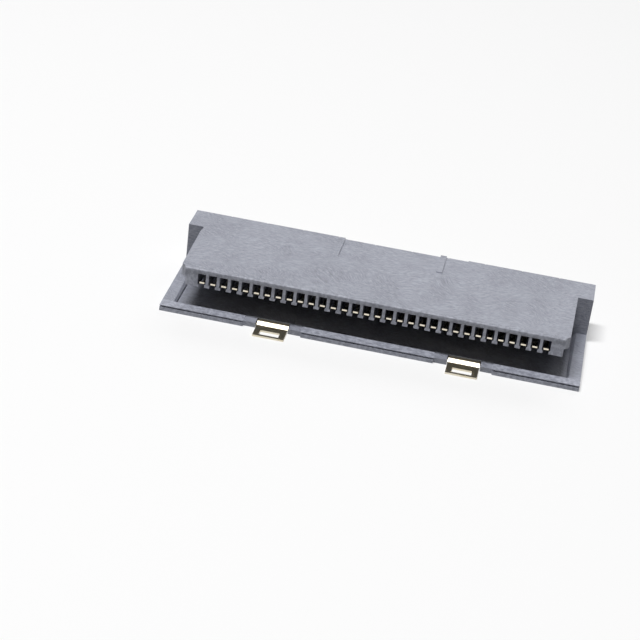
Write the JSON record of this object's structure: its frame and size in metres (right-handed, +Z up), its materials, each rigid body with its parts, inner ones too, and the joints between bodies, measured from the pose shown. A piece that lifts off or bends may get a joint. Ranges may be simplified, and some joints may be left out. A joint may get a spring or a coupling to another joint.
{
  "type": "card edge connector",
  "caption": "Low surface-mounted card edge connector with a slotted hood of spring contacts over an open tray, solder tails behind and solder tabs in front.",
  "frame": {"origin": "on the underside, at the middle of the row of contacts, straight below the front face of the tall rear block", "axes": "+X along the row of contacts, -Y out of the mouth that the card goes into, +Z up from the circuit board"},
  "size_m": [0.0568, 0.0233, 0.0069],
  "materials": {
    "housing_plastic": "moulded, faintly glossy",
    "contact_metal": "tin-plated bronze",
    "tab_metal": "bright tin plate"
  },
  "bodies": {
    "root": {"housing": "housing_plastic", "contact_01": "contact_metal", "contact_02": "contact_metal", "contact_03": "contact_metal", "contact_04": "contact_metal", "contact_05": "contact_metal", "contact_06": "contact_metal", "contact_07": "contact_metal", "contact_08": "contact_metal", "contact_09": "contact_metal", "contact_10": "contact_metal", "contact_11": "contact_metal", "contact_12": "contact_metal", "contact_13": "contact_metal", "contact_14": "contact_metal", "contact_15": "contact_metal", "contact_16": "contact_metal", "contact_17": "contact_metal", "contact_18": "contact_metal", "contact_19": "contact_metal", "contact_20": "contact_metal", "contact_21": "contact_metal", "contact_22": "contact_metal", "contact_23": "contact_metal", "contact_24": "contact_metal", "contact_25": "contact_metal", "contact_26": "contact_metal", "contact_27": "contact_metal", "contact_28": "contact_metal", "contact_29": "contact_metal", "contact_30": "contact_metal", "contact_31": "contact_metal", "contact_32": "contact_metal", "tab_left": "tab_metal", "tab_right": "tab_metal"}
  },
  "joints": []
}
